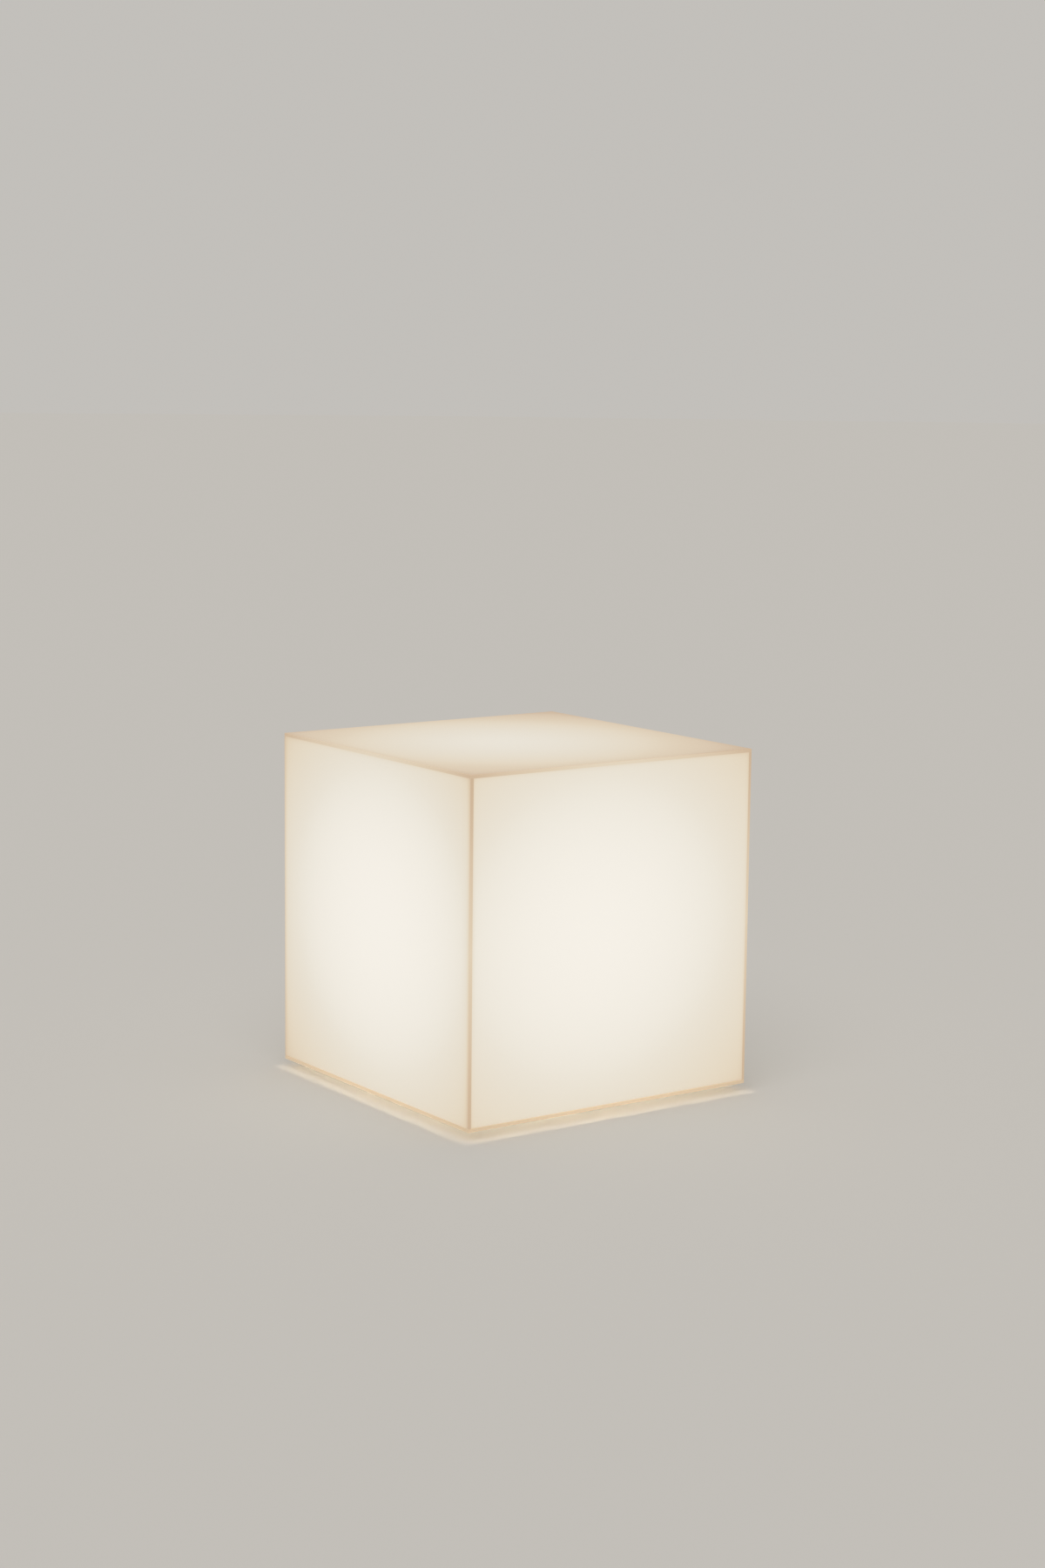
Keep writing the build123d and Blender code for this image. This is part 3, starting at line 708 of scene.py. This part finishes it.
def printed_board(name, mask, pitch):
    """A circuit board: solder mask, with copper tracks under it and tinned dots where they cross."""
    finish = Finish(name, ior=RESIN, roughness=0.32)
    x, y, _ = finish.place()
    bend = finish.noise(scale=90, detail=0) * 5
    inner, outer = 0.18, 0.32  # a track's soft edge, in millimetres from its middle
    along = finish.step(finish.saw(x + bend, pitch), inner, outer, low=1.0, high=0.0)
    cross = finish.step(finish.saw(y + bend, pitch), inner, outer, low=1.0, high=0.0)
    along_here = finish.step(finish.noise(scale=70, detail=1), 0.48, 0.52)
    cross_here = finish.step(finish.noise(scale=65, detail=1), 0.52, 0.48)
    copper = along * along_here + cross * cross_here
    dots = along * cross
    tinted = [value * 1.7 for value in mask]
    tinned = screen(200, 198, 190)
    finish.set("Base Color", finish.blend(dots, finish.blend(copper, mask, tinted), tinned))
    finish.set("Metallic", dots * 0.8)
    finish.relief(copper, depth=0.03)
    return finish


class CUBE_OT_electronics(bpy.types.Operator):
    """Finish the boards, their parts and the LEDs"""

    bl_idname = "cube_light.electronics"
    bl_label = "Electronics"

    def execute(self, context):
        green, white = context.scene.cube_module.board, screen(226, 226, 222)
        black, cream, yellow = screen(40, 40, 42), screen(224, 214, 190), screen(236, 200, 92)
        chip = speckled("chip_moulding", black, roughness=0.38, grain=2600, depth=0.008, variation=0.10)
        nylon = speckled("nylon", cream, roughness=0.44, grain=1800, depth=0.010, variation=0.05)
        phosphor = speckled("phosphor", yellow, roughness=0.35, grain=3000, depth=0.01, variation=0.08)
        phosphor.set("Emission Color", context.scene.cube_lamp.light)
        phosphor.set("Emission Strength", 1.0)
        wear(printed_board("control_board_mask", green, pitch=1.6), "control_board")
        wear(printed_board("led_board_mask", white, pitch=3.2), "led_board")
        wear(chip, "board_components")
        wear(nylon, "board_connectors")
        wear(phosphor, "led_chips")
        return {"FINISHED"}


class CUBE_OT_battery(bpy.types.Operator):
    """Finish the sleeved cells and their holder"""

    bl_idname = "cube_light.battery"
    bl_label = "Battery"

    def execute(self, context):
        colour = context.scene.cube_module.sleeve
        sleeve = Finish("shrink_sleeve", ior=RESIN, coat_roughness=0.12, coat_weight=0.6)
        wrinkles = sleeve.noise(scale=160, detail=3, stretch=(0.3, 1, 1))
        at_ends = sleeve.step(abs(sleeve.place()[0]), CELL_END - 3.0, CELL_END - 0.5)
        # the sleeve is darker where its wrinkle relief is low: painted shade in the creases
        deep = [value * 0.7 for value in colour]
        sleeve.set("Base Color", sleeve.blend(wrinkles, deep, colour))
        sleeve.set("Roughness", wrinkles * 0.12 + at_ends * 0.15 + 0.22)
        sleeve.relief(wrinkles * (at_ends * 2 + 0.5), depth=0.05)
        wear(sleeve, "battery_cells")
        grey = screen(52, 52, 53)
        dark = speckled("holder_moulding", grey, roughness=0.48, grain=2000, depth=0.012, variation=0.07)
        wear(dark, "lower_holder", "upper_holder")
        return {"FINISHED"}


class CUBE_OT_leads(bpy.types.Operator):
    """Finish the insulation of the inner leads"""

    bl_idname = "cube_light.leads"
    bl_label = "Leads"

    def execute(self, context):
        insulation = {"roughness": 0.40, "grain": 1500, "depth": 0.006}
        black = speckled("black_insulation", screen(38, 38, 38), variation=0.10, **insulation)
        red = speckled("red_insulation", screen(172, 34, 30), variation=0.08, **insulation)
        wear(black, "battery_lead_black", "lamp_lead_black")
        wear(red, "battery_lead_red", "lamp_lead_red")
        return {"FINISHED"}


# ------------------------------------------------------------------ lamp


class CUBE_OT_mast(bpy.types.Operator):
    """Finish the turned mast and collar, and the machined heat sink"""

    bl_idname = "cube_light.mast"
    bl_label = "Mast and heat sink"

    def execute(self, context):
        colour = context.scene.cube_lamp.aluminium
        mast = turned("turned_mast", colour, roughness=0.22, stretch=(1, 1, 12), lines=260, depth=0.012)
        sink = turned("turned_sink", colour, roughness=0.30, stretch=(1, 1, 9), lines=210, depth=0.012)
        wear(mast, "mast_tube", "mast_collar")
        wear(sink, "heat_sink")
        return {"FINISHED"}


class CUBE_OT_globe(bpy.types.Operator):
    """Finish the lit, frosted globe"""

    bl_idname = "cube_light.globe"
    bl_label = "Frosted globe"

    def execute(self, context):
        lamp = context.scene.cube_lamp
        finish = Finish("frosted_globe", ior=POLYCARBONATE, emission_strength=lamp.strength)
        at_neck = [value * share for value, share in zip(lamp.light, (0.62, 0.50, 0.36))]
        rise = finish.step(finish.place()[2], GLOBE_LOW.z + 2, GLOBE_HIGH.z - GLOBE_RADIUS)
        finish.set("Emission Color", finish.blend(rise, at_neck, lamp.light))
        finish.set("Base Color", screen(118, 116, 110))
        frost = finish.noise(scale=2600)
        finish.set("Roughness", frost * 0.14 + 0.42)
        finish.relief(frost, depth=0.015)
        wear(finish, "globe")
        return {"FINISHED"}


# ------------------------------------------------------------------ studio


def disc_mesh(name, radius, rings, spokes):
    """A flat round floor, whose rings crowd to the middle: each lies out by the square of its share."""
    share = np.linspace(0, 1, rings + 1)[1:]
    angle = np.arange(spokes) * 2 * math.pi / spokes
    reach = radius * share[:, None] ** 2
    grid = np.stack([reach * np.cos(angle), reach * np.sin(angle), np.zeros((rings, spokes))], axis=-1)
    points = np.concatenate([np.zeros((1, 3)), grid.reshape(-1, 3)])
    ring = np.arange(spokes)
    after = (ring + 1) % spokes
    hub = np.stack([np.zeros(spokes, int), 1 + ring, 1 + after], axis=-1)
    inner = 1 + np.arange(rings - 1)[:, None] * spokes
    outer = inner + spokes
    quads = np.stack([inner + ring, outer + ring, outer + after, inner + after], axis=-1)
    mesh = bpy.data.meshes.new(name)
    mesh.from_pydata(points.tolist(), [], hub.tolist() + quads.reshape(-1, 4).tolist())
    mesh.update()
    return mesh


def floor_finish(studio):
    """A plain matt floor, which can be seen through from underneath."""
    finish = Finish("studio_floor", roughness=0.9, specular_ior_level=0.0)
    finish.set("Base Color", studio.floor)
    if studio.one_way:
        back = finish.add("ShaderNodeNewGeometry", out="Backfacing")
        clear = finish.add("ShaderNodeBsdfTransparent")
        solid = Value(finish, finish.shader.outputs[0])
        finish.end("Material Output", finish.add("ShaderNodeMixShader", None, back, solid, clear))
    return finish


def sky(studio, backdrop):
    """Even light from all round, which the camera and the reflections see as the floor's own tone."""
    world = bpy.data.worlds.new("studio_sky")
    world.use_nodes = True
    graph = Graph(world.node_tree)
    graph.tree.nodes.remove(graph.tree.nodes["Background"])
    camera = graph.add("ShaderNodeLightPath", out="Is Camera Ray")
    glossy, transmitted = camera.others("Is Glossy Ray", "Is Transmission Ray")
    seen = graph.greater(graph.greater(camera, glossy), transmitted)
    light = graph.add("ShaderNodeBackground", None, (1.0, 0.99, 0.975), studio.sky)
    view = graph.add("ShaderNodeBackground", None, backdrop)
    graph.end("World Output", graph.add("ShaderNodeMixShader", None, seen, light, view))
    bpy.context.scene.world = world


def sun(name, strength, azimuth, height, width):
    """A wide, soft light. Its azimuth, from -Y towards +X, its height and its width are in degrees."""
    light = bpy.data.lights.new(name, "SUN")
    light.energy = strength
    light.angle = math.radians(width)
    light.color = (1.0, 0.985, 0.96)
    lamp = bpy.data.objects.new(name, light)
    turn, rise = math.radians(azimuth), math.radians(height)
    out = math.cos(rise)
    towards = Vector((math.sin(turn) * out, -math.cos(turn) * out, math.sin(rise)))
    lamp.rotation_euler = towards.to_track_quat("Z", "Y").to_euler()
    bpy.context.scene.collection.objects.link(lamp)
    return lamp


def all_but(name, *left_out):
    """A collection for a light's linking that stands for everything except some objects."""
    collection = bpy.data.collections.new(name)
    for obj in left_out:
        collection.objects.link(obj)
    for member in collection.collection_objects:
        member.light_linking.link_state = "EXCLUDE"
    return collection


def spill(floor, strength, colour):
    """The lit globe's own light: at full strength on the floor, and at a share of it on the parts."""
    radius = GLOBE_RADIUS / MM
    source = [nodes["globe"], nodes["led_board"], nodes["led_chips"]]
    round_globe = all_but("round_globe", *source)
    opaque = all_but("opaque", *source, nodes["base_plate"], nodes["shade_locators"])
    ground = bpy.data.collections.new("ground")
    ground.objects.link(floor)
    for name, share, receivers in (("spill", 1.0, ground), ("glow", GLOW_SHARE, round_globe)):
        light = bpy.data.lights.new(f"globe_{name}", "POINT")
        light.shadow_soft_size = radius
        light.energy = strength * share * (2 * math.pi * radius) ** 2
        light.color = colour
        lamp = bpy.data.objects.new(f"globe_{name}", light)
        lamp.location = (0, 0, GLOBE_HIGH.z / MM - radius)
        lamp.light_linking.blocker_collection = opaque
        lamp.light_linking.receiver_collection = receivers
        bpy.context.scene.collection.objects.link(lamp)


class CUBE_OT_studio(bpy.types.Operator):
    """Set up the floor, the light and the camera"""

    bl_idname = "cube_light.studio"
    bl_label = "Studio"

    def execute(self, context):
        scene = context.scene
        studio = scene.cube_studio
        disc = disc_mesh("studio_floor", radius=FLOOR_RADIUS, rings=24, spokes=64)
        floor = bpy.data.objects.new("studio_floor", disc)
        scene.collection.objects.link(floor)
        floor.data.materials.append(floor_finish(studio).material)
        level = studio.sky + studio.key * math.sin(math.radians(KEY_HEIGHT)) / math.pi
        sky(studio, [value * level for value in studio.floor])
        sun("key_light", studio.key, azimuth=KEY_AZIMUTH, height=KEY_HEIGHT, width=KEY_WIDTH)
        spill(floor, studio.spill, scene.cube_lamp.light)
        if studio.one_way:
            under = sun("under_light", studio.key, azimuth=0.0, height=-90.0, width=UNDER_WIDTH)
            under.light_linking.receiver_collection = all_but("above_floor", floor)
            under.light_linking.blocker_collection = under.light_linking.receiver_collection
        self.camera(scene, studio)
        scene.view_settings.view_transform = "Standard"
        return {"FINISHED"}

    def camera(self, scene, studio):
        """The camera of the photograph: its place, heading, downward tilt and slight roll."""
        heading, tilt, roll = (math.radians(angle) for angle in (HEADING, TILT, ROLL))
        out = math.cos(tilt)
        forward = Vector((-math.sin(heading) * out, math.cos(heading) * out, -math.sin(tilt)))
        right = forward.cross(Vector((0, 0, 1))).normalized()
        up = right.cross(forward)
        turned_right = right * math.cos(roll) + up * math.sin(roll)
        turned_up = up * math.cos(roll) - right * math.sin(roll)
        data = bpy.data.cameras.new("camera")
        data.lens = studio.lens
        data.sensor_width = 36.0
        data.clip_end = 60.0
        camera = bpy.data.objects.new("camera", data)
        turn = Matrix((turned_right, turned_up, -forward)).transposed().to_4x4()
        camera.matrix_world = Matrix.Translation(Vector(studio.place)) @ turn
        scene.collection.objects.link(camera)
        scene.camera = camera


# ------------------------------------------------------------------ panel and registration


class CUBE_PT_panel(bpy.types.Panel):
    """The cube light's settings and steps"""

    bl_idname = "CUBE_PT_panel"
    bl_label = "Cube light"
    bl_space_type = "VIEW_3D"
    bl_region_type = "UI"
    bl_category = "Cube light"

    def draw(self, context):
        for name, kind in SETTINGS.items():
            box = self.layout.box()
            box.label(text=kind.__doc__)
            for prop in kind.__annotations__:
                box.prop(getattr(context.scene, name), prop)
        column = self.layout.column(align=True)
        for operator in STEPS:
            column.operator(operator.bl_idname)


SETTINGS = {
    "cube_shade": ShadeSettings,
    "cube_base": BaseSettings,
    "cube_module": ModuleSettings,
    "cube_lamp": LampSettings,
    "cube_studio": StudioSettings,
}
STEPS = (
    CUBE_OT_studio,
    CUBE_OT_opal_shade,
    CUBE_OT_clear_base,
    CUBE_OT_rubber,
    CUBE_OT_fasteners,
    CUBE_OT_housing,
    CUBE_OT_controls,
    CUBE_OT_electronics,
    CUBE_OT_battery,
    CUBE_OT_leads,
    CUBE_OT_mast,
    CUBE_OT_globe,
)


def register():
    for kind in (*SETTINGS.values(), *STEPS, CUBE_PT_panel):
        bpy.utils.register_class(kind)
    for name, kind in SETTINGS.items():
        setattr(bpy.types.Scene, name, PointerProperty(type=kind))


def unregister():
    for name in SETTINGS:
        delattr(bpy.types.Scene, name)
    for kind in reversed((*SETTINGS.values(), *STEPS, CUBE_PT_panel)):
        bpy.utils.unregister_class(kind)


def main():
    """Registers the add-on and runs its steps in order."""
    register()
    for step in STEPS:
        group, name = step.bl_idname.split(".")
        getattr(getattr(bpy.ops, group), name)()


if __name__ == "__main__":
    main()
